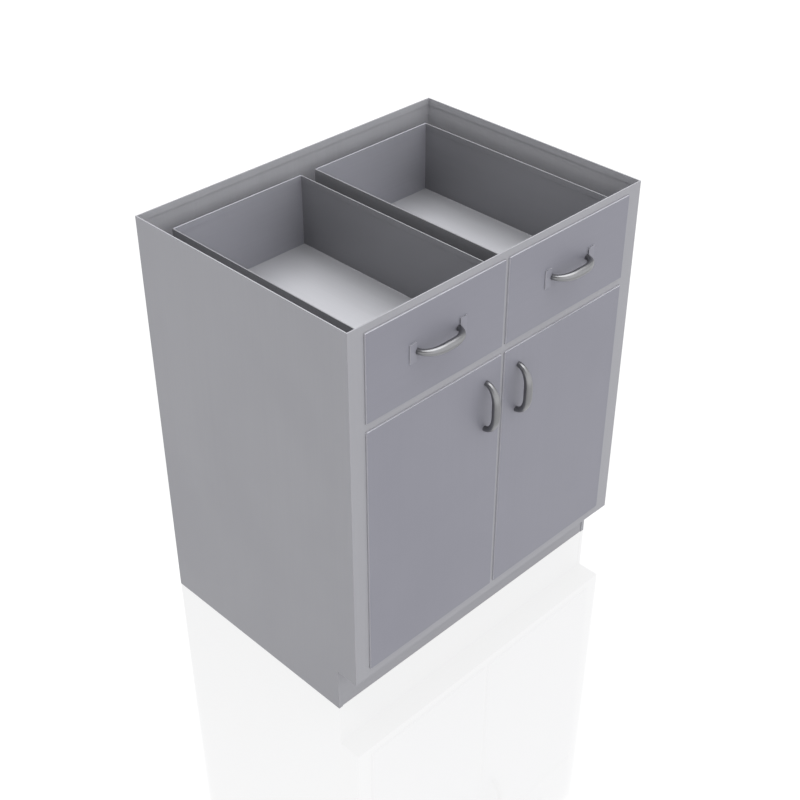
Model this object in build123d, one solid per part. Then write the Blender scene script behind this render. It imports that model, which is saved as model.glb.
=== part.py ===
from build123d import *
import math
import os

# Stainless steel base cabinet: two drawers over two doors, open top, toe-kick base.
# All shapes are drawn in a design frame (x = 0 at the left outer side, y = 0 at the
# front plane of the face frame, +y to the back, z = 0 on the floor, millimetres) and
# are shifted on export so that the origin is the centre of the overall footprint.

# ---------------------------------------------------------------- driving dimensions
W = 762.0            # overall width (30 in)
D = 559.0            # face frame to back (22 in)
H = 897.5            # overall height
T = 1.2              # sheet thickness
RI = 0.2             # frame and panels are V-grooved before folding, so their corners are sharp:
RO = 0.6             # inside and outside bend radius
KICK_D = 50.8        # toe-kick recess (2 in)
KICK_H = 103.0       # toe-kick height
PROUD = 3.2          # fronts stand this far in front of the frame
GAP = 0.6            # running gap round each front
FRONT_T = 19.0       # thickness of a drawer front or door
FX0, FX1 = 37.0, 375.8        # left front, left and right edge (the right one is mirrored)
DRZ0, DRZ1 = 703.0, 881.2     # drawer fronts, bottom and top
DOZ0, DOZ1 = 124.2, 684.7     # doors, bottom and top
RETURN_Y = 17.5               # depth of the stiles' returns
STILE_X = FX0 - GAP           # inner edge of the left stile
MULL_X = FX1 + GAP            # left edge of the centre mullion
MIDX = W / 2.0
BOX_X0, BOX_X1 = 49.6, 363.0  # left drawer box
BOX_Z0, BOX_Z1 = 715.6, 868.1
BOX_Y1 = 519.0
BOX_RI = 0.9                  # inside bend radius of the drawer boxes
BOX_RO = BOX_RI + T
SLIDE_X0 = BOX_X0 - 12.7      # slide mounting plane at the outer side
SLIDE_X1 = BOX_X1 + 12.7      # slide mounting plane at the centre support
SLIDE_Z = 770.0               # slide centre height
SLIDE_Y0, SLIDE_L = 20.0, 457.0
PIV_A = 50.0                  # pivot axis from the door's outer edge
PIV_X = FX0 + PIV_A
PIV_Y = 3.8
PIN_R = 1.9
BUSH_BORE = 1.95
PULL_CC = 101.6               # pull, centre to centre
PULL_H = 26.9                 # pull centreline in front of the face
PULL_FLAT = 10.0              # half the straight middle of the pull; the rest is a quarter ellipse each side
PULL_R0, PULL_R1 = 5.5, 8.5   # pull radius at the feet and at the middle
PULL_SCREW = 7.0              # screw length inside the pull
FACE_Y = -PROUD               # outer face of the fronts
BACK_Y = FACE_Y + FRONT_T     # inner face of the fronts
SCREW_R = 2.0

FRONT_MOST = FACE_Y - PULL_H - PULL_R1
SHIFT = (-MIDX, -(D + FRONT_MOST) / 2.0, 0.0)

os.makedirs("parts", exist_ok=True)
NODES = {}


# ---------------------------------------------------------------- helpers
def bx(x0, x1, y0, y1, z0, z1):
    """Box between two corners."""
    return Pos((x0 + x1) / 2, (y0 + y1) / 2, (z0 + z1) / 2) * Box(x1 - x0, y1 - y0, z1 - z0)


def cyl(r, p0, p1):
    """Cylinder along a main axis, from p0 to p1."""
    d = Vector(*p1) - Vector(*p0)
    pl = Plane(origin=p0, z_dir=d)
    return pl * Cylinder(r, d.length, align=(Align.CENTER, Align.CENTER, Align.MIN))


def poly_face(pts, radii, place):
    """Closed face from 2-D points with a rounding radius at each, placed by place(u, v)."""
    n = len(pts)
    t_in, t_out, arcs = [], [], []
    for i in range(n):
        p = Vector(*pts[i], 0)
        a = Vector(*pts[i - 1], 0) - p
        b = Vector(*pts[(i + 1) % n], 0) - p
        r = radii[i]
        if r <= 1e-9:
            t_in.append(p)
            t_out.append(p)
            arcs.append(None)
            continue
        a, b = a.normalized(), b.normalized()
        ang = math.acos(max(-1.0, min(1.0, a.dot(b))))
        t = r / math.tan(ang / 2)
        c = p + (a + b).normalized() * (r / math.sin(ang / 2))
        mid = c + (p - c).normalized() * r
        t_in.append(p + a * t)
        t_out.append(p + b * t)
        arcs.append(mid)
    edges = []
    for i in range(n):
        j = (i + 1) % n
        if (t_out[i] - t_in[j]).length > 1e-6:
            edges.append(Edge.make_line(place(t_out[i].X, t_out[i].Y), place(t_in[j].X, t_in[j].Y)))
        if arcs[j] is not None:
            edges.append(Edge.make_three_point_arc(place(t_in[j].X, t_in[j].Y), place(arcs[j].X, arcs[j].Y), place(t_out[j].X, t_out[j].Y)))
    return Face(Wire(edges))


def prism_xy(pts, radii, z0, z1):
    return extrude(poly_face(pts, radii, lambda u, v: (u, v, z0)), z1 - z0, dir=(0, 0, 1))


def prism_xz(pts, radii, y0, y1):
    return extrude(poly_face(pts, radii, lambda u, v: (u, y0, v)), y1 - y0, dir=(0, 1, 0))


def prism_yz(pts, radii, x0, x1):
    return extrude(poly_face(pts, radii, lambda u, v: (x0, u, v)), x1 - x0, dir=(1, 0, 0))


def strip(path, side, t=T, ri=RI, ro=RO):
    """Outline of a bent sheet: path plus its copy offset by t to one side (+1 = left)."""
    p = [Vector(a, b, 0) for a, b in path]
    n = len(p)
    dirs = [(p[i + 1] - p[i]).normalized() for i in range(n - 1)]
    nor = [Vector(-d.Y * side, d.X * side, 0) for d in dirs]
    off, rad_p, rad_o = [], [], []
    for i in range(n):
        if i == 0:
            off.append(p[0] + nor[0] * t)
            rad_p.append(0.0)
            rad_o.append(0.0)
        elif i == n - 1:
            off.append(p[-1] + nor[-1] * t)
            rad_p.append(0.0)
            rad_o.append(0.0)
        else:
            m = (nor[i - 1] + nor[i])
            m = m * (t * 2.0 / m.length ** 2)
            off.append(p[i] + m)
            turn = dirs[i - 1].X * dirs[i].Y - dirs[i - 1].Y * dirs[i].X
            inner_is_offset = (turn * side) > 0
            rad_p.append(ro if inner_is_offset else ri)
            rad_o.append(ri if inner_is_offset else ro)
    pts = [(q.X, q.Y) for q in p] + [(q.X, q.Y) for q in reversed(off)]
    rad = rad_p + list(reversed(rad_o))
    return pts, rad


def mirror_x(s):
    """The same piece on the other side of the cabinet's centre plane."""
    return mirror(s, about=Plane(origin=(MIDX, 0, 0), z_dir=(1, 0, 0)))


def solids_of(s):
    if isinstance(s, (list, tuple)):
        out = []
        for q in s:
            out += solids_of(q)
        return out
    return list(s.solids())


def put(name, s):
    sol = [q.moved(Location(SHIFT)) for q in solids_of(s)]
    shape = sol[0] if len(sol) == 1 else Compound(children=sol)
    NODES[name] = sol
    export_step(shape, "parts/%s.step" % name)


# ---------------------------------------------------------------- carcass sheet metal
BOT_Z = DOZ0 - GAP            # top of the bottom rail and of the bottom panel
TOP_B = DRZ1 + GAP            # underside of the top rail
MID_B, MID_T = DOZ1 + GAP, DRZ0 - GAP


def side_panel():
    """Left side: one sheet with the front stile, its return, a back flange and a base flange."""
    lower, lr = strip([(9.5, KICK_D), (0.0, KICK_D), (0.0, D - T), (18.0, D - T)], -1)
    main, mr_ = strip([(STILE_X, RETURN_Y), (STILE_X, 0.0), (0.0, 0.0), (0.0, D - T), (18.0, D - T)], -1)
    upper, ur = strip([(STILE_X, RETURN_Y), (STILE_X, 0.0), (0.0, 0.0), (0.0, D - T)], -1)
    top, tpr = strip([(STILE_X, 0.0), (0.0, 0.0), (0.0, D - T)], -1)
    s = prism_xy(lower, lr, 0.0, KICK_H) + prism_xy(main, mr_, KICK_H, 820.0)
    s += prism_xy(upper, ur, 820.0, TOP_B) + prism_xy(top, tpr, TOP_B, H)
    for z0, z1 in ((KICK_H, BOT_Z), (MID_B, MID_T)):                    # square ends where the rails are welded on
        s += bx(STILE_X - RO - 0.2, STILE_X, 0.0, T, z0, z1)
    s += bx(T / 2, 2 * T, T / 2, D - 2 * T, H - 14.0, H)              # hemmed top edge of the side
    s += bx(2 * T, STILE_X, T / 2, 2 * T, H - 11.0, H)                # and of the stile
    s += bx(T, 20.0, KICK_D + 22.0, D - 40.0, 0.0, T)                   # base flange
    s += bx(T / 2, STILE_X, T / 2, KICK_D + T, KICK_H, KICK_H + T)      # closes the overhang from below
    return s


side_l = side_panel()
put("side_panel_left", side_l)
put("side_panel_right", mirror_x(side_l))

# Back panel: flush sheet behind both back flanges, with hemmed top and four wall-fixing holes
WALL_X, WALL_Z0, WALL_Z1, WALL_R = 280.0, 190.0, 650.0, 3.5
back = bx(0.0, W, D - T, D, 0.0, H) + bx(T, W - T, D - 2 * T, D - T, H - 14.0, H)
back += bx(19.0, W - 19.0, D - 20.0, D - T, 0.0, T)
for sx in (-1, 1):
    for z in (WALL_Z0, WALL_Z1):
        back -= cyl(WALL_R, (MIDX + sx * WALL_X, D - 5, z), (MIDX + sx * WALL_X, D + 5, z))
put("back_panel", back)

# Bottom panel of the cupboard: pan with turned-down edges
bot = bx(1.6, W - 1.6, 27.0, D - T - 1.6, BOT_Z - T, BOT_Z)
bot += bx(1.6, W - 1.6, 27.0, 27.0 + T, BOT_Z - 17.0, BOT_Z - T)
bot += bx(1.6, W - 1.6, D - 2 * T - 1.6, D - T - 1.6, BOT_Z - 17.0, BOT_Z - T)
bot += bx(1.6, 1.6 + T, 27.0, D - T - 1.6, BOT_Z - 17.0, BOT_Z - T)
bot += bx(W - 1.6 - T, W - 1.6, 27.0, D - T - 1.6, BOT_Z - 17.0, BOT_Z - T)
# stiffening hat under the middle of the floor
hat, hr = strip([(MIDX - 60, BOT_Z - T), (MIDX - 40, BOT_Z - T), (MIDX - 34, BOT_Z - 20), (MIDX + 34, BOT_Z - 20), (MIDX + 40, BOT_Z - T), (MIDX + 60, BOT_Z - T)], -1, ri=0.9, ro=2.1)
put("bottom_panel", bot)
put("floor_stiffener", prism_xz(hat, hr, KICK_D + 26.0, D - 30.0))

# Rails: sheet channels between the stiles
RX0, RX1 = STILE_X, W - STILE_X
tr, trr = strip([(0.0, H), (0.0, TOP_B), (15.0, TOP_B), (15.0, TOP_B + 3.6)], +1)
top_rail = prism_yz(tr, trr, RX0, RX1) + bx(RX0, RX1, T / 2, 2 * T, H - 11.0, H)

mr, mrr = strip([(26.0, MID_T), (0.0, MID_T), (0.0, MID_B), (46.0, MID_B)], +1)
mid_rail = prism_yz(mr, mrr, RX0, RX1)
br, brr = strip([(26.0, BOT_Z), (0.0, BOT_Z), (0.0, KICK_H), (KICK_D + T, KICK_H)], +1)
bottom_rail = prism_yz(br, brr, RX0, RX1)
# weld fill, ground flush, where the mullions meet the rails' folded edges
MX0, MX1 = MULL_X + RO, W - MULL_X - RO
top_rail += bx(MX0, MX1, 0.0, T, TOP_B, TOP_B + RO + 0.2)
mid_rail += bx(MX0, MX1, 0.0, T, MID_T - RO - 0.2, MID_T) + bx(MX0, MX1, 0.0, T, MID_B, MID_B + RO + 0.2)
bottom_rail += bx(MX0, MX1, 0.0, T, BOT_Z - RO - 0.2, BOT_Z)
put("top_rail", top_rail)

# clearance holes for the door pivots
for cx in (PIV_X, W - PIV_X):
    mid_rail -= cyl(PIN_R + 0.3, (cx, PIV_Y, MID_B - 3), (cx, PIV_Y, MID_B + 4))
    bottom_rail -= cyl(PIN_R + 0.3, (cx, PIV_Y, BOT_Z - 4), (cx, PIV_Y, BOT_Z + 3))

# Centre mullions between the rails
um, umr = strip([(MULL_X, 21.0), (MULL_X, 0.0), (W - MULL_X, 0.0), (W - MULL_X, 21.0)], +1)
put("upper_mullion", prism_xy(um, umr, MID_T, TOP_B))
STOP_Y = BACK_Y + 1.6 + 0.3   # the doors' bumpers stop just in front of the mullion's side flanges
lm, lmr = strip([(MULL_X - 12.0, STOP_Y), (MULL_X, STOP_Y), (MULL_X, 0.0), (W - MULL_X, 0.0), (W - MULL_X, STOP_Y), (W - MULL_X + 12.0, STOP_Y)], +1)
lower_mullion = prism_xy(lm, lmr, BOT_Z, MID_B)
put("lower_mullion", lower_mullion)

# Kick board behind the side flanges
kb, kbr = strip([(KICK_D + 22.0, KICK_H), (KICK_D + T, KICK_H), (KICK_D + T, 0.0), (KICK_D + 20.0, 0.0)], +1)
put("kick_board", prism_yz(kb, kbr, T + RI + 0.1, W - T - RI - 0.1))

# Slide mounts: hat sections from the sides out to the slide plane, and the centre support
sm, smr = strip([(2 * T, SLIDE_Z + 42.0), (2 * T, SLIDE_Z + 30.0), (SLIDE_X0, SLIDE_Z + 30.0), (SLIDE_X0, SLIDE_Z - 30.0), (2 * T, SLIDE_Z - 30.0), (2 * T, SLIDE_Z - 42.0)], -1, ri=0.9, ro=2.1)
mount_l = prism_xz(sm, smr, 27.0, 530.0)
cs, csr = strip([(SLIDE_X1, SLIDE_Z - 40.0), (SLIDE_X1, SLIDE_Z + 50.0), (W - SLIDE_X1, SLIDE_Z + 50.0), (W - SLIDE_X1, SLIDE_Z - 40.0)], -1, ri=0.9, ro=2.1)
centre = prism_xz(cs, csr, 21.0, D - T)
MOUNT_Y = (SLIDE_Y0 + 45.0, SLIDE_Y0 + 400.0)


# ---------------------------------------------------------------- drawer slides
# One slide drawn from the mounting plane u = 0 to the drawer side u = 12.7.
def slide_sections():
    z = SLIDE_Z
    cab = [(11.0, z + 22.5), (0.0, z + 22.5), (0.0, z - 22.5), (11.0, z - 22.5)]
    mid = [(9.6, z + 19.0), (2.6, z + 19.0), (2.6, z - 19.0), (9.6, z - 19.0)]
    drw = [(5.4, z + 14.5), (12.7, z + 14.5), (12.7, z - 14.5), (5.4, z - 14.5)]
    return cab, mid, drw


def slide_part(which, u0, sgn):
    """Sheet channel of one slide member; u0 = mounting plane, sgn = direction to the drawer."""
    pts, side, dy0, dl = {
        0: (slide_sections()[0], +1, 0.0, SLIDE_L),
        1: (slide_sections()[1], +1, 1.0, SLIDE_L - 6.0),
        2: (slide_sections()[2], -1, 2.0, SLIDE_L - 4.0)}[which]
    path = [(u0 + sgn * u, v) for u, v in pts]
    p, r = strip(path, side * sgn, t=1.2, ri=0.8, ro=2.0)
    s = prism_xz(p, r, SLIDE_Y0 + dy0, SLIDE_Y0 + dy0 + dl)
    return s


def screws_x(x, ys, z, sgn, length, r=1.9, head=3.2, ht=1.0):
    """Low-head screws along x: head at x on the side sgn points away from, shank towards sgn."""
    out = []
    for y in ys:
        s = cyl(r, (x, y, z), (x + sgn * length, y, z))
        s += cyl(head, (x - sgn * ht, y, z), (x, y, z))
        out.append(s)
    return out


def hole_x(s, x0, x1, ys, z, r=1.9):
    for y in ys:
        s -= cyl(r, (x0, y, z), (x1, y, z))
    return s


cab_screws = []
for side_i in (0, 1):
    tag = "left" if side_i == 0 else "right"
    members = []
    for which in (0, 1, 2):
        a = slide_part(which, SLIDE_X0, +1)
        b = slide_part(which, SLIDE_X1, -1)
        if which == 0:
            a = hole_x(a, SLIDE_X0 - 2, SLIDE_X0 + 3, MOUNT_Y, SLIDE_Z)
            b = hole_x(b, SLIDE_X1 - 3, SLIDE_X1 + 2, MOUNT_Y, SLIDE_Z)
        pair = [a, b]
        if side_i:
            pair = [mirror_x(q) for q in pair]
        members.append(pair)
    put("slide_%s_cabinet_members" % tag, members[0])
    put("slide_%s_middle_members" % tag, members[1])
    put("slide_%s_drawer_members" % tag, members[2])
    sc = screws_x(SLIDE_X0 + T, MOUNT_Y, SLIDE_Z, -1, 6.0) + screws_x(SLIDE_X1 - T, MOUNT_Y, SLIDE_Z, +1, 5.0)
    cab_screws += [mirror_x(q) for q in sc] if side_i else sc
mount_l = hole_x(mount_l, SLIDE_X0 - 5, SLIDE_X0 + 1, MOUNT_Y, SLIDE_Z)
centre = hole_x(centre, SLIDE_X1 - 1, SLIDE_X1 + 3, MOUNT_Y, SLIDE_Z)
centre = hole_x(centre, W - SLIDE_X1 - 3, W - SLIDE_X1 + 1, MOUNT_Y, SLIDE_Z)
put("slide_mount_left", mount_l)
put("slide_mount_right", mirror_x(mount_l))
put("centre_slide_support", centre)
put("slide_screws", cab_screws)


# ---------------------------------------------------------------- pulls
def pull(cx, cz, vertical):
    """Arched pull: round bar that swells from the feet to the middle, along a flat-topped ellipse."""
    a = PULL_CC / 2
    n = 6
    half = []                                 # (distance along the pull, height, slope direction)
    for k in range(n + 1):
        t = math.radians(90.0 * k / n)
        half.append((-PULL_FLAT - (a - PULL_FLAT) * math.cos(t), PULL_H * math.sin(t),
                     (a - PULL_FLAT) * math.sin(t), PULL_H * math.cos(t)))
    pts = half + [(0.0, PULL_H, 1.0, 0.0)] + [(-s, h, ds, -dh) for s, h, ds, dh in reversed(half)]
    faces = []
    for s, h, ds, dh in pts:
        r = PULL_R0 + (PULL_R1 - PULL_R0) * max(0.0, 1.0 - (abs(s) / a) ** 2.1)
        if vertical:
            org, zd, xd = (cx, FACE_Y - h, cz + s), (0, -dh, ds), (1, 0, 0)
        else:
            org, zd, xd = (cx + s, FACE_Y - h, cz), (ds, -dh, 0), (0, 0, 1)
        faces.append(Plane(origin=org, x_dir=xd, z_dir=zd) * Circle(r))
    body = loft([f.face() for f in faces])
    for sg in (-1, 1):
        if vertical:
            p0, p1 = (cx, FACE_Y + 0.1, cz + sg * a), (cx, FACE_Y - PULL_SCREW - 1.0, cz + sg * a)
        else:
            p0, p1 = (cx + sg * a, FACE_Y + 0.1, cz), (cx + sg * a, FACE_Y - PULL_SCREW - 1.0, cz)
        body -= cyl(SCREW_R, p0, p1)
    return body


def pull_screws(cx, cz, vertical):
    out = []
    for sg in (-1, 1):
        x = cx if vertical else cx + sg * PULL_CC / 2
        z = cz + sg * PULL_CC / 2 if vertical else cz
        s = cyl(SCREW_R, (x, BACK_Y, z), (x, FACE_Y - PULL_SCREW, z))
        head = cyl(3.8, (x, BACK_Y, z), (x, BACK_Y + 2.2, z))
        head -= bx(x - 2.6, x + 2.6, BACK_Y + 1.2, BACK_Y + 3, z - 0.5, z + 0.5)
        head -= bx(x - 0.5, x + 0.5, BACK_Y + 1.2, BACK_Y + 3, z - 2.6, z + 2.6)
        out.append(s + head)
    return out


def pull_holes(s, cx, cz, vertical, r=SCREW_R):
    for sg in (-1, 1):
        x = cx if vertical else cx + sg * PULL_CC / 2
        z = cz + sg * PULL_CC / 2 if vertical else cz
        s -= cyl(r, (x, FACE_Y - 1, z), (x, BACK_Y + 1, z))
    return s


# ---------------------------------------------------------------- fronts
FR = 0.8     # outside radius at the folded edges of a front


def outer_pan(x0, x1, z0, z1):
    """Folded tray, face at the front, returns to the back."""
    outer = bx(x0, x1, FACE_Y, BACK_Y, z0, z1)
    outer = fillet(outer.edges().filter_by(Axis.Y), 1.0)
    es = [e for e in outer.edges() if abs(e.center().Y - FACE_Y) < 1e-6]
    outer = fillet(es, FR)
    inner = bx(x0 + T, x1 - T, FACE_Y + T, BACK_Y + 1, z0 + T, z1 - T)
    return outer - inner


def inner_pan(x0, x1, z0, z1, depth=7.0):
    """Shallow tray closing the back of a front, flanges towards the front."""
    o = bx(x0, x1, BACK_Y - depth, BACK_Y, z0, z1)
    o = fillet([e for e in o.edges() if abs(e.center().Y - BACK_Y) < 1e-6], 1.5)
    return o - bx(x0 + T, x1 - T, BACK_Y - depth - 1, BACK_Y - T, z0 + T, z1 - T)


PULL_DR_X = 206.1
PULL_DR_Z = 795.7
PULL_DO_X = 336.6
PULL_DO_Z = 590.4


def both(tag_fn, shape):
    """Write a piece of the left front or box and its mirror image for the right one."""
    put(tag_fn("left"), shape)
    if isinstance(shape, (list, tuple)):
        put(tag_fn("right"), [mirror_x(q) for q in shape])
    else:
        put(tag_fn("right"), mirror_x(shape))


# drawer front
dpan = pull_holes(outer_pan(FX0, FX1, DRZ0, DRZ1), PULL_DR_X, PULL_DR_Z, False)
dliner = inner_pan(FX0 + T + 0.1, FX1 - T - 0.1, DRZ0 + T + 0.1, DRZ1 - T - 0.1, depth=9.0)
dliner = pull_holes(dliner, PULL_DR_X, PULL_DR_Z, False)
both(lambda t: "drawer_%s_front_pan" % t, dpan)
both(lambda t: "drawer_%s_inner_front" % t, dliner)
both(lambda t: "drawer_%s_pull" % t, pull(PULL_DR_X, PULL_DR_Z, False))
both(lambda t: "drawer_%s_pull_screws" % t, pull_screws(PULL_DR_X, PULL_DR_Z, False))

# card clips beside the pull's feet: each a small folded channel, open towards the pull,
# that holds one end of a label card
CLIP_T = 0.6
clips = []
for sg in (-1, 1):
    xa, xb = PULL_DR_X + sg * 68.8, PULL_DR_X + sg * 53.8
    cp, cr = strip([(xb, FACE_Y - CLIP_T), (xa, FACE_Y - CLIP_T), (xa, FACE_Y - 1.9), (xb, FACE_Y - 1.9)], sg, t=CLIP_T, ri=0.25, ro=0.85)
    clip = prism_xy(cp, cr, PULL_DR_Z - 19.2, PULL_DR_Z + 19.2)
    clip -= cyl(PULL_R0 + 0.6, (PULL_DR_X + sg * PULL_CC / 2, FACE_Y + 1, PULL_DR_Z), (PULL_DR_X + sg * PULL_CC / 2, FACE_Y - 9, PULL_DR_Z))
    clips.append(clip)
both(lambda t: "drawer_%s_card_clips" % t, clips)

# drawer box: sides and bottom from one sheet with hemmed top edges, and a separate back
HEM = 12.0
u_pts = [(BOX_X0, BOX_Z1), (BOX_X0, BOX_Z0), (BOX_X1, BOX_Z0), (BOX_X1, BOX_Z1),
         (BOX_X1 - 2 * T, BOX_Z1), (BOX_X1 - 2 * T, BOX_Z1 - HEM), (BOX_X1 - T, BOX_Z1 - HEM), (BOX_X1 - T, BOX_Z0 + T),
         (BOX_X0 + T, BOX_Z0 + T), (BOX_X0 + T, BOX_Z1 - HEM), (BOX_X0 + 2 * T, BOX_Z1 - HEM), (BOX_X0 + 2 * T, BOX_Z1)]
u_rad = [1.1, BOX_RO, BOX_RO, 1.1, 1.1, 0.4, 0.0, BOX_RI, BOX_RI, 0.0, 0.4, 1.1]
dbox = prism_xz(u_pts, u_rad, BACK_Y, BOX_Y1)
dback = bx(BOX_X0 + T, BOX_X1 - T, BOX_Y1 - T, BOX_Y1, BOX_Z0 + T, BOX_Z1 - HEM)
dback += bx(BOX_X0 + 2 * T, BOX_X1 - 2 * T, BOX_Y1 - T, BOX_Y1, BOX_Z1 - HEM, BOX_Z1)
dback += bx(BOX_X0 + 2 * T, BOX_X1 - 2 * T, BOX_Y1 - 2 * T, BOX_Y1 - T, BOX_Z1 - HEM, BOX_Z1)
dback -= bx(BOX_X0 + T - 0.1, BOX_X0 + T + BOX_RI, BOX_Y1 - 3, BOX_Y1 + 1, BOX_Z0 + T - 0.1, BOX_Z0 + T + BOX_RI)
dback -= bx(BOX_X1 - T - BOX_RI, BOX_X1 - T + 0.1, BOX_Y1 - 3, BOX_Y1 + 1, BOX_Z0 + T - 0.1, BOX_Z0 + T + BOX_RI)
both(lambda t: "drawer_%s_body" % t, dbox)
both(lambda t: "drawer_%s_back" % t, dback)

# ---------------------------------------------------------------- doors
door = pull_holes(outer_pan(FX0, FX1, DOZ0, DOZ1), PULL_DO_X, PULL_DO_Z, True)
BUSH_R = 3.1
FLANGE_R = 3.7
for z0, z1 in ((DOZ0 - 1, DOZ0 + T + 0.5), (DOZ1 - T - 0.5, DOZ1 + 1)):
    door -= cyl(BUSH_R, (PIV_X, PIV_Y, z0), (PIV_X, PIV_Y, z1))
both(lambda t: "door_%s_outer_pan" % t, door)
door_in = inner_pan(FX0 + T + 0.1, FX1 - T - 0.1, DOZ0 + T + 0.1, DOZ1 - T - 0.1, depth=7.0)
door_in = pull_holes(door_in, PULL_DO_X, PULL_DO_Z, True)
both(lambda t: "door_%s_inner_pan" % t, door_in)
core = bx(FX0 + 6.0, FX1 - 6.0, FACE_Y + T + 0.1, BACK_Y - T - 0.1, DOZ0 + 30.0, DOZ1 - 30.0)
core = pull_holes(core, PULL_DO_X, PULL_DO_Z, True, r=3.0)
both(lambda t: "door_%s_core" % t, core)
both(lambda t: "door_%s_pull" % t, pull(PULL_DO_X, PULL_DO_Z, True))
both(lambda t: "door_%s_pull_screws" % t, pull_screws(PULL_DO_X, PULL_DO_Z, True))

# flanged pivot bushings in the top and bottom of the door
bushes = []
for z, s in ((DOZ0, -1), (DOZ1, +1)):
    b = cyl(BUSH_R, (PIV_X, PIV_Y, z), (PIV_X, PIV_Y, z - s * 12.5))
    b += cyl(FLANGE_R, (PIV_X, PIV_Y, z), (PIV_X, PIV_Y, z + s * 0.15))
    b -= cyl(BUSH_BORE, (PIV_X, PIV_Y, z + s * 1), (PIV_X, PIV_Y, z - s * 14))
    bushes.append(b)
both(lambda t: "door_%s_bushings" % t, bushes)

# rubber bumpers and catch strike on the back of the door
BUMP_X = FX1 - 5.5
bumps = []
for z in (DOZ0 + 28.0, DOZ1 - 40.0):
    b = cyl(4.0, (BUMP_X, BACK_Y, z), (BUMP_X, BACK_Y + 1.6, z))
    bumps.append(fillet([e for e in b.edges() if abs(e.center().Y - BACK_Y - 1.6) < 1e-6], 0.7))
both(lambda t: "door_%s_bumpers" % t, bumps)
CATCH_X0, CATCH_X1 = 322.0, 358.0
strike = bx(CATCH_X0 + 3, CATCH_X1 - 3, BACK_Y, BACK_Y + 1.3, DOZ1 - 18.0, DOZ1 - 4.0)
strike = fillet(strike.edges().filter_by(Axis.Y), 1.5)
both(lambda t: "door_%s_strike" % t, strike)

# ---------------------------------------------------------------- pivots, catches, shelf
brackets, pins, washers = [], [], []
for cx, sg in ((PIV_X, 1), (W - PIV_X, -1)):
    bx0, bx1 = min(cx - sg * 9, cx + sg * 17), max(cx - sg * 9, cx + sg * 17)
    # top: plate on the lower flange of the middle rail, pin hanging down into the door
    zt = MID_B + T
    pl = bx(bx0, bx1, T + 0.1, 24.0, zt, zt + 3.0) + bx(bx0, bx1, 21.0, 24.0, zt + 2.0, zt + 11.0)
    pl = fillet([e for e in pl.edges() if abs(e.center().Z - zt) < 1e-6 and abs(e.center().Y - T - 0.1) < 1e-6], RI + 0.1)
    pl -= cyl(PIN_R, (cx, PIV_Y, zt - 1), (cx, PIV_Y, zt + 4))
    brackets.append(pl)
    pins.append(cyl(PIN_R, (cx, PIV_Y, zt + 3.0), (cx, PIV_Y, DOZ1 - 12.0)) + cyl(2.5, (cx, PIV_Y, zt + 3.0), (cx, PIV_Y, zt + 6.0)))
    # bottom: plate under the top flange of the bottom rail, pin standing up into the door
    zb = BOT_Z - T
    pl = bx(bx0, bx1, T + 0.1, 24.0, zb - 3.0, zb) + bx(bx0, bx1, 21.0, 24.0, zb - 11.0, zb - 2.0)
    pl = fillet([e for e in pl.edges() if abs(e.center().Z - zb) < 1e-6 and abs(e.center().Y - T - 0.1) < 1e-6], RI + 0.1)
    pl -= cyl(PIN_R, (cx, PIV_Y, zb - 4), (cx, PIV_Y, zb + 1))
    brackets.append(pl)
    pins.append(cyl(PIN_R, (cx, PIV_Y, zb - 3.0), (cx, PIV_Y, DOZ0 + 12.0)) + cyl(2.5, (cx, PIV_Y, zb - 6.0), (cx, PIV_Y, zb - 3.0)))
    washers.append(cyl(FLANGE_R, (cx, PIV_Y, BOT_Z), (cx, PIV_Y, BOT_Z + 0.3)) - cyl(PIN_R + 0.05, (cx, PIV_Y, BOT_Z - 1), (cx, PIV_Y, BOT_Z + 2)))
put("pivot_brackets", brackets)
put("pivot_pins", pins)
put("thrust_washers", washers)

catches, magnets, cscrews = [], [], []
for m in (0, 1):
    c0, c1 = (CATCH_X0, CATCH_X1)
    zc0, zc1 = DOZ1 - 20.0, MID_B
    yc0, yc1 = BACK_Y + 1.9, 44.0
    h = bx(c0, c1, yc0, yc1, zc0, zc1)
    h = fillet([e for e in h.edges().filter_by(Axis.Z)], 2.0)
    h -= bx(c0 + 5, c1 - 5, yc0 - 1, yc0 + 9, zc0 + 3, zc1 - 5)
    mg = bx(c0 + 5, c1 - 5, yc0 + 1.0, yc0 + 9, zc0 + 7, zc1 - 9)
    p1 = bx(c0 + 5, c1 - 5, yc0 - 0.2, yc0 + 9, zc0 + 5, zc0 + 7)
    p2 = bx(c0 + 5, c1 - 5, yc0 - 0.2, yc0 + 9, zc1 - 9, zc1 - 7)
    sc = []
    for x in (c0 + 8, c1 - 8):
        y = yc1 - 9.0
        h -= cyl(1.6, (x, y, zc0 - 1), (x, y, zc1 + 1)) + cyl(3.0, (x, y, zc0 - 1), (x, y, zc0 + 3.0))
        s = cyl(1.6, (x, y, zc0 + 1.0), (x, y, MID_B + T + 3.0)) + cyl(3.0, (x, y, zc0 + 1.0), (x, y, zc0 + 3.0))
        s -= bx(x - 2.2, x + 2.2, y - 0.4, y + 0.4, zc0 + 0.5, zc0 + 1.8)
        sc.append(s)
        mid_rail -= cyl(1.6, (x if m == 0 else W - x, y, MID_B - 1), (x if m == 0 else W - x, y, MID_B + T + 1))
    grp = [h, mg + p1 + p2, sc]
    if m:
        grp = [mirror_x(grp[0]), mirror_x(grp[1]), [mirror_x(q) for q in sc]]
    catches.append(grp[0])
    magnets.append(grp[1])
    cscrews += grp[2]
put("catch_housings", catches)
put("catch_magnets", magnets)
put("catch_screws", cscrews)
put("mid_rail", mid_rail)
put("bottom_rail", bottom_rail)

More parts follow.
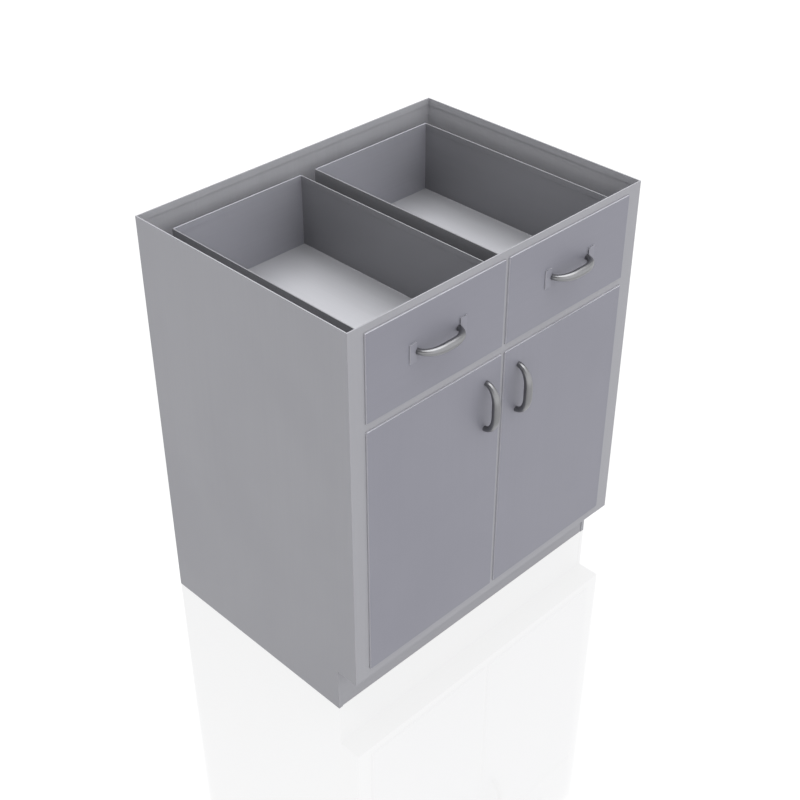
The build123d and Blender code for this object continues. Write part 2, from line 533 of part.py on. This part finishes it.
# Shelf standards: slotted strips on the side panels; clips in their slots; one shelf
STD_Y = (120.0, 430.0)
STD_Z0, STD_Z1 = 160.0, 650.0
SHELF_Z = 405.0
standards, sclips = [], []
for y in STD_Y:
    p, r = strip([(T, y - 9.0), (T + 4.5, y - 9.0), (T + 4.5, y + 9.0), (T, y + 9.0)], +1, t=1.2, ri=0.5, ro=1.7)
    s = prism_xy(p, r, STD_Z0, STD_Z1)
    k = STD_Z0 + 20.0
    while k < STD_Z1 - 12.0:
        s -= bx(T + 2.5, T + 6.0, y - 5.0, y + 5.0, k, k + 5.0)
        k += 25.0
    standards += [s, mirror_x(s)]
    zs = STD_Z0 + 20.0 + 25.0 * 9          # slot that carries the shelf
    c = bx(T + 3.0, T + 4.5, y - 4.6, y + 4.6, zs + 0.3, zs + 4.7) + bx(T + 4.5, T + 6.0, y - 8.0, y + 8.0, zs - 10.0, zs + 4.7) + bx(T + 6.0, T + 22.0, y - 8.0, y + 8.0, zs + 3.2, zs + 4.7)
    sclips += [c, mirror_x(c)]
    SHELF_Z = zs + 4.7
put("shelf_standards", standards)
put("shelf_clips", sclips)
SX0, SX1, SY0, SY1 = 10.0, W - 10.0, 70.0, D - 12.0
shelf = bx(SX0, SX1, SY0, SY1, SHELF_Z, SHELF_Z + 22.0)
shelf = fillet([e for e in shelf.edges() if abs(e.center().Z - SHELF_Z - 22.0) < 1e-6], 1.5)
shelf -= bx(SX0 + T, SX1 - T, SY0 + T, SY1 - T, SHELF_Z - 1, SHELF_Z + 22.0 - T)
# folded-in lips along all four edges rest on the clips
shelf += bx(SX0, SX1, SY0, SY1, SHELF_Z, SHELF_Z + T) - bx(SX0 + 16.0, SX1 - 16.0, SY0 + 16.0, SY1 - 16.0, SHELF_Z - 1, SHELF_Z + 3)
put("shelf", shelf)

print(len(NODES), "nodes")
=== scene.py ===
import math

import bpy
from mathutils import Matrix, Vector

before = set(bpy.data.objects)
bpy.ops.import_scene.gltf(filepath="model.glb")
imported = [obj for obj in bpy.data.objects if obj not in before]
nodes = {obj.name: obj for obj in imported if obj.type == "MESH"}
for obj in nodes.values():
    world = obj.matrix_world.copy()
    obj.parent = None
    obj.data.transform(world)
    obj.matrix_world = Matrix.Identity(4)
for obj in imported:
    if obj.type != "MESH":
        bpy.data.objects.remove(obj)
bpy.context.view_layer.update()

scene = bpy.context.scene
scene.view_settings.view_transform = "Standard"
scene.view_settings.look = "None"
scene.view_settings.exposure = 0.0
scene.view_settings.gamma = 1.0


# ---------------------------------------------------------------- camera
AZ, EL = math.radians(-44.930), math.radians(35.3043)
BACK = Vector((math.sin(AZ) * math.cos(EL), -math.cos(AZ) * math.cos(EL), math.sin(EL)))
cam_data = bpy.data.cameras.new("camera")
cam_data.sensor_width = 36.0
cam_data.lens = 61.3879
cam_data.clip_start, cam_data.clip_end = 0.05, 200.0
cam = bpy.data.objects.new("camera", cam_data)
scene.collection.objects.link(cam)
cam.location = (-1.597223, -1.597672, 2.049345)
cam.rotation_mode = "QUATERNION"
cam.rotation_quaternion = (-BACK).to_track_quat("-Z", "Y")
scene.camera = cam


# ---------------------------------------------------------------- node helpers
class Graph:
    """A small builder for one material's node tree."""

    def __init__(self, name):
        self.mat = bpy.data.materials.new(name)
        self.mat.use_nodes = True
        self.tree = self.mat.node_tree
        self.tree.nodes.clear()
        self.out = self.add("ShaderNodeOutputMaterial")
        self.bsdf = self.add("ShaderNodeBsdfPrincipled")
        self.link(self.bsdf.outputs["BSDF"], self.out.inputs["Surface"])
        self.coord = self.add("ShaderNodeTexCoord")

    def add(self, kind, **props):
        n = self.tree.nodes.new(kind)
        for k, v in props.items():
            setattr(n, k, v)
        return n

    def link(self, a, b):
        self.tree.links.new(a, b)

    def put(self, socket, value):
        if hasattr(value, "is_output"):
            self.link(value, socket)
        else:
            socket.default_value = value

    def mapped(self, scale, location=(0, 0, 0)):
        m = self.add("ShaderNodeMapping")
        m.inputs["Scale"].default_value = scale
        m.inputs["Location"].default_value = location
        self.link(self.coord.outputs["Object"], m.inputs["Vector"])
        return m.outputs["Vector"]

    def axes(self):
        n = self.add("ShaderNodeSeparateXYZ")
        self.link(self.coord.outputs["Object"], n.inputs[0])
        return n.outputs[0], n.outputs[1], n.outputs[2]

    def facing_axes(self):
        n = self.add("ShaderNodeSeparateXYZ")
        self.link(self.coord.outputs["Normal"], n.inputs[0])
        return n.outputs[0], n.outputs[1], n.outputs[2]

    def noise(self, vector, scale=1.0, detail=2.0, rough=0.5, distortion=0.0):
        n = self.add("ShaderNodeTexNoise")
        n.inputs["Scale"].default_value = scale
        n.inputs["Detail"].default_value = detail
        n.inputs["Roughness"].default_value = rough
        n.inputs["Distortion"].default_value = distortion
        self.link(vector, n.inputs["Vector"])
        return n.outputs["Fac"]

    def math(self, op, a, b=None, c=None, clamp=False):
        n = self.add("ShaderNodeMath", operation=op)
        n.use_clamp = clamp
        for s, v in zip(n.inputs, (a, b, c)):
            if v is not None:
                self.put(s, v)
        return n.outputs[0]

    def ranged(self, value, a0, a1, b0, b1, smooth=False):
        n = self.add("ShaderNodeMapRange")
        if smooth:
            n.interpolation_type = "SMOOTHSTEP"
        for k, v in (("Value", value), ("From Min", a0), ("From Max", a1), ("To Min", b0), ("To Max", b1)):
            self.put(n.inputs[k], v)
        return n.outputs["Result"]

    def mix(self, fac, a, b, blend="MIX"):
        n = self.add("ShaderNodeMix", data_type="RGBA", blend_type=blend)
        n.clamp_result = False
        self.put(n.inputs[0], fac)
        self.put(n.inputs[6], a)
        self.put(n.inputs[7], b)
        return n.outputs[2]

    def bump(self, height, strength, distance, normal=None):
        n = self.add("ShaderNodeBump")
        n.inputs["Strength"].default_value = strength
        n.inputs["Distance"].default_value = distance
        self.link(height, n.inputs["Height"])
        if normal is not None:
            self.link(normal, n.inputs["Normal"])
        return n.outputs["Normal"]


def rgb(r, g, b):
    return (r, g, b, 1.0)


def scaled(c, k):
    return rgb(c[0] * k, c[1] * k, c[2] * k)


METAL = 0.15
ROUGH = 0.50
IN_METAL = 0.50
IN_ROUGH = 0.50

# Outer faces of the cabinet, metres: side planes at +-HALF_W, front plane, back plane and top
HALF_W = 0.381
FRONT_Y = -0.2602
REAR_Y = 0.2988
TOP_Z = 0.8975
KICK_Z = 0.1030      # below this everything is outer skin
PAN_Z = 0.7168       # inner face of a drawer's bottom
BOX_MIDDLE = 0.1747  # middle of each drawer, from the cabinet's centre plane
BOX_HALF = 0.1555    # half a drawer's inner width
# Painted shade: how much darker a drawer's bottom gets towards its walls and ends, and its sides and back low down
BOTTOM_EDGE_PAINTED_SHADE = 0.12
LOW_DOWN_PAINTED_SHADE = 0.18


def behind_skin(g):
    """1 on the inner faces of the carcass sheets, 0 on the ground outer skin."""
    x, y, z = g.axes()
    m = g.ranged(g.math("ABSOLUTE", x), HALF_W - 0.0010, HALF_W - 0.0007, 1.0, 0.0)
    m = g.math("MULTIPLY", m, g.ranged(y, FRONT_Y + 0.0007, FRONT_Y + 0.0010, 0.0, 1.0))
    m = g.math("MULTIPLY", m, g.ranged(y, REAR_Y - 0.0010, REAR_Y - 0.0007, 1.0, 0.0))
    m = g.math("MULTIPLY", m, g.ranged(z, KICK_Z, KICK_Z + 0.0003, 0.0, 1.0))
    return g.math("MULTIPLY", m, g.ranged(z, TOP_Z - 0.0006, TOP_Z - 0.0003, 1.0, 0.0))


def front_sheet(g):
    """Base colour of a front: its folded edge carries a painted highlight, brighter than its face, the same all round.
    """
    ny = g.facing_axes()[1]
    rim = g.ranged(g.axes()[1], FRONT_Y + 0.0010, FRONT_Y + 0.0040, 1.0, 0.0, smooth=True)
    rim = g.math("MULTIPLY", rim, g.ranged(g.math("ABSOLUTE", ny), 0.5, 0.8, 1.0, 0.0))
    return g.mix(rim, rgb(*FRONT), rgb(*FRONT_EDGE_HIGHLIGHT))


def clip_sheet(g):
    """Base colour of the card clips: their cut edges carry a painted highlight, brighter than their faces."""
    y = g.facing_axes()[1]
    return g.mix(g.ranged(g.math("ABSOLUTE", y), 0.4, 0.8, 0.0, 1.0), rgb(*FRONT_EDGE_HIGHLIGHT), rgb(*CLIP))


def middle_of_drawer(g, x):
    """0 in the middle of a drawer's width, 1 at its sides, the same for both drawers."""
    d = g.math("SUBTRACT", g.math("ABSOLUTE", x), BOX_MIDDLE)
    return g.math("DIVIDE", g.math("ABSOLUTE", d), BOX_HALF)


def drawer_sheet(g):
    """Base colour of a drawer's bottom and sides, with painted shade: the bottom is darker towards the walls and ends,
    the walls low down.
    """
    x, y, z = g.axes()
    edge = g.ranged(middle_of_drawer(g, x), 0.45, 1.0, 0.0, 1.0, smooth=True)
    ends = g.ranged(g.math("ABSOLUTE", g.math("SUBTRACT", y, 0.0070)), 0.120, 0.245, 0.0, 1.0, smooth=True)
    bottom = g.math("SUBTRACT", 1.0, g.math("MULTIPLY", g.math("MAXIMUM", edge, ends), BOTTOM_EDGE_PAINTED_SHADE))
    side = g.ranged(z, PAN_Z, PAN_Z + 0.1430, 1.0 - LOW_DOWN_PAINTED_SHADE, 1.0)
    a = g.mix(1.0, rgb(*SHADED_SIDE_SHEET), side, blend="MULTIPLY")
    b = g.mix(1.0, rgb(*INSIDE), bottom, blend="MULTIPLY")
    return g.mix(g.ranged(z, PAN_Z + 0.0002, PAN_Z + 0.0010, 1.0, 0.0), a, b)


def drawer_rear(g):
    """Base colour of a drawer's back: painted shade, darker low down."""
    side = g.ranged(g.axes()[2], PAN_Z, PAN_Z + 0.1430, 1.0 - LOW_DOWN_PAINTED_SHADE, 1.0)
    return g.mix(1.0, rgb(*REAR), side, blend="MULTIPLY")


# Grain direction -> how much each axis is stretched. Metres in, so 800 means a period of about 1.2 mm.
def grain_scale(axis, across, along):
    return tuple(along if a == axis else across for a in "xyz")


def brushed(name, base, rough, axis, seed=0.0, spread=0.05, lines=1.0, metal=METAL, smudge=1.0, zone=None, zone_base=None, sheet=None):
    """Satin stainless sheet: fine abrasive lines along one axis, soft long streaks, faint handling marks.
    zone gives a mask of the faces that have the other base colour; sheet gives the base colour itself."""
    g = Graph(name)
    off = (seed * 1.37, seed * 2.11, seed * 0.73)
    fine = g.noise(g.mapped(grain_scale(axis, 950.0, 9.0), off), 1.0, 3.0, 0.6)
    mid = g.noise(g.mapped(grain_scale(axis, 190.0, 1.6), off), 1.0, 2.0, 0.55)
    wide = g.noise(g.mapped(grain_scale(axis, 22.0, 0.9), off), 1.0, 2.0, 0.5)
    cloud = g.noise(g.mapped((3.1, 3.1, 3.1), off), 1.0, 3.0, 0.55, 0.35)
    streak = g.math("ADD", g.math("MULTIPLY", fine, 0.42), g.math("ADD", g.math("MULTIPLY", mid, 0.33), g.math("MULTIPLY", wide, 0.25)))
    tone = g.ranged(streak, 0.30, 0.70, 0.0, 1.0)
    shade = g.mix(tone, scaled((1, 1, 1), 1.0 - spread), scaled((1, 1, 1), 1.0 + spread))
    haze = g.ranged(cloud, 0.35, 0.70, 0.0, 1.0, smooth=True)
    shade = g.mix(g.math("MULTIPLY", haze, 0.35 * smudge), shade, rgb(0.94, 0.94, 0.945))
    if sheet is not None:
        plain = sheet(g)
    else:
        plain = rgb(*base) if zone is None else g.mix(zone(g), rgb(*base), rgb(*zone_base))
    colour = g.mix(1.0, plain, shade, blend="MULTIPLY")
    g.link(colour, g.bsdf.inputs["Base Color"])
    g.bsdf.inputs["Metallic"].default_value = metal
    r = g.math("ADD", g.ranged(streak, 0.30, 0.70, rough - 0.05, rough + 0.05), g.math("MULTIPLY", haze, 0.05 * smudge))
    g.link(r, g.bsdf.inputs["Roughness"])
    n = g.bump(streak, 0.22 * lines, 0.00012)
    n = g.bump(cloud, 0.05, 0.004, n)
    g.link(n, g.bsdf.inputs["Normal"])
    return g.mat


def cast_satin(name, base, rough, metal):
    """Pulls: cast and satin-polished by hand, so the lines run round in patches and the surface waves slightly."""
    g = Graph(name)
    a = g.noise(g.mapped((260.0, 260.0, 260.0)), 1.0, 4.0, 0.6)
    b = g.noise(g.mapped((900.0, 60.0, 900.0)), 1.0, 2.0, 0.5)
    c = g.noise(g.mapped((30.0, 30.0, 30.0)), 1.0, 2.0, 0.5)
    f = g.math("ADD", g.math("MULTIPLY", a, 0.5), g.math("MULTIPLY", b, 0.5))
    col = g.mix(g.ranged(f, 0.35, 0.65, 0.0, 1.0), scaled(base, 0.95), scaled(base, 1.05))
    col = g.mix(g.math("MULTIPLY", g.ranged(c, 0.4, 0.7, 0.0, 1.0, smooth=True), 0.3), col, scaled(base, 0.9))
    g.link(col, g.bsdf.inputs["Base Color"])
    g.bsdf.inputs["Metallic"].default_value = metal
    g.link(g.ranged(f, 0.3, 0.7, rough - 0.04, rough + 0.06), g.bsdf.inputs["Roughness"])
    g.link(g.bump(c, 0.12, 0.0012, g.bump(f, 0.10, 0.0001)), g.bsdf.inputs["Normal"])
    return g.mat


def zinc(name, base=(0.50, 0.515, 0.53), rough=0.38):
    """Bright zinc plating over rolled steel: small crystalline clouds and a little drawing grain."""
    g = Graph(name)
    spangle = g.add("ShaderNodeTexVoronoi", feature="F1")
    spangle.inputs["Scale"].default_value = 1.0
    g.link(g.mapped((240.0, 120.0, 240.0)), spangle.inputs["Vector"])
    n = g.noise(g.mapped((600.0, 20.0, 600.0)), 1.0, 2.0, 0.5)
    f = g.math("ADD", g.math("MULTIPLY", spangle.outputs["Distance"], 0.5), g.math("MULTIPLY", n, 0.5))
    g.link(g.mix(g.ranged(f, 0.2, 0.8, 0.0, 1.0), scaled(base, 0.88), scaled(base, 1.08)), g.bsdf.inputs["Base Color"])
    g.bsdf.inputs["Metallic"].default_value = 1.0
    g.link(g.ranged(f, 0.2, 0.8, rough - 0.06, rough + 0.08), g.bsdf.inputs["Roughness"])
    g.link(g.bump(f, 0.10, 0.0001), g.bsdf.inputs["Normal"])
    return g.mat


def turned(name, base, rough):
    """Screws and pins: fine lathe marks round the axis."""
    g = Graph(name)
    n = g.noise(g.mapped((1500.0, 1500.0, 1500.0)), 1.0, 3.0, 0.6)
    w = g.noise(g.mapped((200.0, 200.0, 200.0)), 1.0, 2.0, 0.5)
    f = g.math("ADD", g.math("MULTIPLY", n, 0.6), g.math("MULTIPLY", w, 0.4))
    g.link(g.mix(g.ranged(f, 0.3, 0.7, 0.0, 1.0), scaled(base, 0.86), scaled(base, 1.1)), g.bsdf.inputs["Base Color"])
    g.bsdf.inputs["Metallic"].default_value = 1.0
    g.link(g.ranged(f, 0.3, 0.7, rough - 0.05, rough + 0.08), g.bsdf.inputs["Roughness"])
    g.link(g.bump(f, 0.15, 0.0001), g.bsdf.inputs["Normal"])
    return g.mat


def moulded(name, base, rough, speck=0.05, grain=900.0, depth=0.0001):
    """Moulded plastic or rubber: fine spark-eroded texture and slight flow marks."""
    g = Graph(name)
    n = g.noise(g.mapped((grain, grain, grain)), 1.0, 3.0, 0.6)
    w = g.noise(g.mapped((45.0, 45.0, 45.0)), 1.0, 2.0, 0.5)
    f = g.math("ADD", g.math("MULTIPLY", n, 0.6), g.math("MULTIPLY", w, 0.4))
    g.link(g.mix(g.ranged(f, 0.3, 0.7, 0.0, 1.0), scaled(base, 1.0 - speck), scaled(base, 1.0 + speck)), g.bsdf.inputs["Base Color"])
    g.bsdf.inputs["Metallic"].default_value = 0.0
    g.link(g.ranged(f, 0.3, 0.7, rough - 0.06, rough + 0.08), g.bsdf.inputs["Roughness"])
    g.link(g.bump(n, 0.25, depth), g.bsdf.inputs["Normal"])
    return g.mat


def board(name):
    """Pressed fibre board inside the doors."""
    g = Graph(name)
    n = g.noise(g.mapped((700.0, 700.0, 160.0)), 1.0, 4.0, 0.65)
    v = g.add("ShaderNodeTexVoronoi", feature="F1")
    v.inputs["Scale"].default_value = 1.0
    g.link(g.mapped((180.0, 180.0, 90.0)), v.inputs["Vector"])
    f = g.math("ADD", g.math("MULTIPLY", n, 0.6), g.math("MULTIPLY", v.outputs["Distance"], 0.4))
    g.link(g.mix(g.ranged(f, 0.2, 0.8, 0.0, 1.0), rgb(0.20, 0.16, 0.11), rgb(0.36, 0.30, 0.22)), g.bsdf.inputs["Base Color"])
    g.bsdf.inputs["Roughness"].default_value = 0.9
    g.link(g.bump(f, 0.4, 0.0003), g.bsdf.inputs["Normal"])
    return g.mat


# ---------------------------------------------------------------- finishes
BODY = (0.273, 0.273, 0.295)       # face frame, sides: ground outer skin
MILL = (0.385, 0.386, 0.409)       # inner faces of the same sheets
FRONT = (0.195, 0.195, 0.229)      # drawer fronts and doors
FRONT_EDGE_HIGHLIGHT = (0.470, 0.470, 0.510) # painted highlight on their folded edges, and on the cut edges of the card clips
INSIDE = (0.400, 0.402, 0.425)     # drawer bottoms, cupboard floor and shelf
SHADED_SIDE_SHEET = (0.240, 0.241, 0.256)       # drawer sides and slide mounts, darker than the drawer bottoms: painted shade
REAR = (0.365, 0.366, 0.404)       # drawer backs
CENTRE = (0.275, 0.276, 0.294)     # support between the drawers
PULL = (0.222, 0.223, 0.230)
CLIP = (0.205, 0.205, 0.240)       # card clips
PULL_METAL = 1.0
PULL_ROUGH = 0.31

mats = {
    "body_z": brushed("steel_body_vertical", BODY, ROUGH, "z", 1.0, zone=behind_skin, zone_base=MILL),
    "body_x": brushed("steel_body_horizontal", BODY, ROUGH, "x", 2.0, zone=behind_skin, zone_base=MILL),
    "front_z": brushed("steel_door_vertical", FRONT, ROUGH, "z", 3.0, sheet=front_sheet),
    "front_x": brushed("steel_drawer_front_horizontal", FRONT, ROUGH, "x", 4.0, sheet=front_sheet),
    "in_x": brushed("steel_inner_x", INSIDE, IN_ROUGH, "x", 5.0, metal=IN_METAL),
    "in_y": brushed("steel_inner_y", INSIDE, IN_ROUGH, "y", 6.0, metal=IN_METAL),
    "in_z": brushed("steel_inner_z", INSIDE, IN_ROUGH, "z", 7.0, metal=IN_METAL),
    "box": brushed("steel_drawer_box", SHADED_SIDE_SHEET, IN_ROUGH, "y", 8.0, metal=IN_METAL, sheet=drawer_sheet),
    "box_back": brushed("steel_drawer_back", REAR, IN_ROUGH, "x", 9.0, metal=IN_METAL, sheet=drawer_rear),
    "mount": brushed("steel_slide_mount", SHADED_SIDE_SHEET, IN_ROUGH, "y", 11.0, metal=IN_METAL),
    "centre": brushed("steel_centre_support", CENTRE, IN_ROUGH, "y", 10.0, metal=IN_METAL),
    "pull": cast_satin("steel_pull", PULL, PULL_ROUGH, PULL_METAL),
    "clip": brushed("steel_card_clips", CLIP, ROUGH, "z", 12.0, sheet=clip_sheet),
    "zinc": zinc("zinc_plated"),
    "screw": turned("screw_steel", (0.47, 0.47, 0.48), 0.33),
    "nylon": moulded("nylon", (0.78, 0.78, 0.75), 0.48),
    "rubber": moulded("rubber", (0.028, 0.028, 0.030), 0.72, speck=0.2, grain=1400.0),
    "magnet": moulded("ferrite", (0.055, 0.055, 0.060), 0.55, speck=0.25, grain=1100.0),
    "board": board("fibre_board"),
}

FINISH = {}
for n in nodes:
    if n.startswith("side_panel") or n.endswith("mullion") or n == "back_panel":
        k = "body_z"
    elif n in ("top_rail", "mid_rail", "bottom_rail", "kick_board"):
        k = "body_x"
    elif n in ("bottom_panel", "shelf", "shelf_clips"):
        k = "in_x"
    elif n == "centre_slide_support":
        k = "centre"
    elif n in ("slide_mount_left", "slide_mount_right"):
        k = "mount"
    elif n == "floor_stiffener":
        k = "in_y"
    elif n == "shelf_standards":
        k = "in_z"
    elif n.endswith("_screws"):
        k = "screw"
    elif n == "pivot_pins":
        k = "screw"
    elif n in ("pivot_brackets",) or n.endswith("_members") or n.endswith("_strike"):
        k = "zinc"
    elif n == "thrust_washers" or n.endswith("_bushings") or n == "catch_housings":
        k = "nylon"
    elif n == "catch_magnets":
        k = "magnet"
    elif n.endswith("_bumpers"):
        k = "rubber"
    elif n.endswith("_core"):
        k = "board"
    elif n.endswith("_pull"):
        k = "pull"
    elif n.startswith("door_") and n.endswith("_outer_pan"):
        k = "front_z"
    elif n.startswith("door_") and n.endswith("_inner_pan"):
        k = "in_z"
    elif n.endswith("_card_clips"):
        k = "clip"
    elif n.endswith("_front_pan"):
        k = "front_x"
    elif n.endswith("_inner_front"):
        k = "in_x"
    elif n.startswith("drawer_") and n.endswith("_back"):
        k = "box_back"
    elif n.startswith("drawer_") and n.endswith("_body"):
        k = "box"
    else:
        k = "body_z"
    FINISH[n] = k

for n, obj in nodes.items():
    obj.data.materials.clear()
    obj.data.materials.append(mats[FINISH[n]])


# ---------------------------------------------------------------- floor
FLOOR_GLOW = 0.815


def make_floor():
    g = Graph("floor_white")
    g.bsdf.inputs["Base Color"].default_value = rgb(0.04, 0.04, 0.04)
    g.bsdf.inputs["Roughness"].default_value = 0.06
    g.bsdf.inputs["IOR"].default_value = 2.2
    g.bsdf.inputs["Emission Color"].default_value = rgb(1, 1, 1)
    g.bsdf.inputs["Emission Strength"].default_value = FLOOR_GLOW
    m = bpy.data.meshes.new("floor")
    r, k = 60.0, 96
    m.from_pydata([(r * math.cos(2 * math.pi * i / k), r * math.sin(2 * math.pi * i / k), -0.0004) for i in range(k)], [], [list(range(k))])
    o = bpy.data.objects.new("floor", m)
    scene.collection.objects.link(o)
    m.materials.append(g.mat)


make_floor()


# ---------------------------------------------------------------- light
SKY = 1.0            # level of the pale studio walls at the right and the back
FRONTAL = 0.55       # how much brighter the wall in front is
SIDE = 0.1           # how much brighter the wall at the left is, low down
TOP = 4.0            # level of the broad light overhead
TOP_DIR = (0.10, 0.10, 1.0)
TOP_IN = 20.0        # degrees from TOP_DIR up to which the overhead light is full
TOP_OUT = 46.0       # degrees from TOP_DIR where it ends
LEFT = 0.1           # what the dark drape high on the left lets through
LEFT_A = 0.25        # where the drape starts round to the left, and where it is full
LEFT_B = 0.85
HIGH_A = 0.18        # where it starts upwards, and where it is full
HIGH_B = 0.50


class Sky(Graph):
    """The studio round the object: pale walls, one broad light overhead, a dark drape high on the left."""

    def __init__(self):
        world = bpy.data.worlds.new("studio")
        world.use_nodes = True
        self.tree = world.node_tree
        self.tree.nodes.clear()
        self.out = self.add("ShaderNodeOutputWorld")
        self.bg = self.add("ShaderNodeBackground")
        self.coord = self.add("ShaderNodeTexCoord")
        self.link(self.bg.outputs["Background"], self.out.inputs["Surface"])
        scene.world = world

    def facing(self, direction):
        n = self.add("ShaderNodeVectorMath", operation="DOT_PRODUCT")
        n.inputs[1].default_value = Vector(direction).normalized()
        self.link(self.coord.outputs["Generated"], n.inputs[0])
        return n.outputs["Value"]


def make_sky():
    g = Sky()
    top = g.ranged(g.facing(TOP_DIR), math.cos(math.radians(TOP_OUT)), math.cos(math.radians(TOP_IN)), 0.0, TOP - SKY, smooth=True)
    front = g.ranged(g.facing((0, -1, 0)), 0.0, 0.8, 0.0, FRONTAL, smooth=True)
    side = g.ranged(g.facing((-1, 0, 0)), 0.0, 0.8, 0.0, SIDE, smooth=True)
    left = g.ranged(g.facing((-1, 0, 0)), LEFT_A, LEFT_B, 0.0, 1.0 - LEFT, smooth=True)
    high = g.ranged(g.facing((0, 0, 1)), HIGH_A, HIGH_B, 0.0, 1.0, smooth=True)
    wall = g.math("ADD", SKY, g.math("ADD", front, side))
    wall = g.math("MULTIPLY", wall, g.math("SUBTRACT", 1.0, g.math("MULTIPLY", left, high)))
    g.bg.inputs["Color"].default_value = (1.0, 1.0, 1.0, 1.0)
    g.link(g.math("ADD", wall, top), g.bg.inputs["Strength"])


make_sky()
